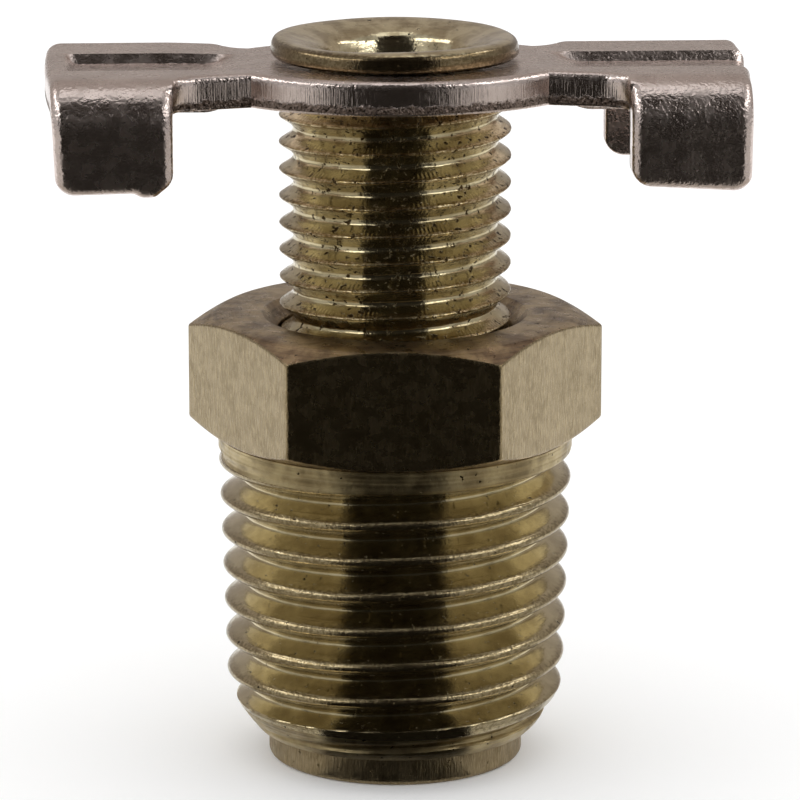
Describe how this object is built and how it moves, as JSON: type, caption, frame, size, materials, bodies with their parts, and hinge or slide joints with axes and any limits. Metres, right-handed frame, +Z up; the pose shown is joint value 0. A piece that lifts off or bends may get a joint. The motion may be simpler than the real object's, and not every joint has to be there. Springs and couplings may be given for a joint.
{
  "type": "radiator drain cock",
  "caption": "Brass radiator drain cock: hexagon body with taper pipe thread, screwed hollow stem with a valve nose below, and a stamped wing handle that turns to open it.",
  "frame": {"origin": "centre of the valve nose's flat lower face, which the closed cock stands on", "axes": "+Z up along the stem, X along the wings, -Y towards the shorter flaps"},
  "size_m": [0.027, 0.0144, 0.0287],
  "materials": {
    "body_brass": "turned brass bar, slightly tarnished",
    "stem_brass": "turned brass bar, speckled thread",
    "plated_steel": "nickel-plated stamped steel sheet, satin"
  },
  "bodies": {
    "cock_body": {"body": "body_brass"},
    "spindle": {"stem": "stem_brass"},
    "handle": {"wing_handle": "plated_steel"}
  },
  "joints": [
    {"name": "stem_travel", "type": "slide", "parent": "cock_body", "child": "spindle", "axis": [0, 0, -1], "range_m": [0, 0.0082]},
    {"name": "handle_turn", "type": "hinge", "parent": "spindle", "child": "handle", "pos_m": [0, 0, 0.0272], "axis": [0, 0, -1], "range_deg": [0, 2790]}
  ],
  "couplings": [
    {"joint": "stem_travel", "follows": "handle_turn", "m_per_rad": 0.00016844}
  ]
}
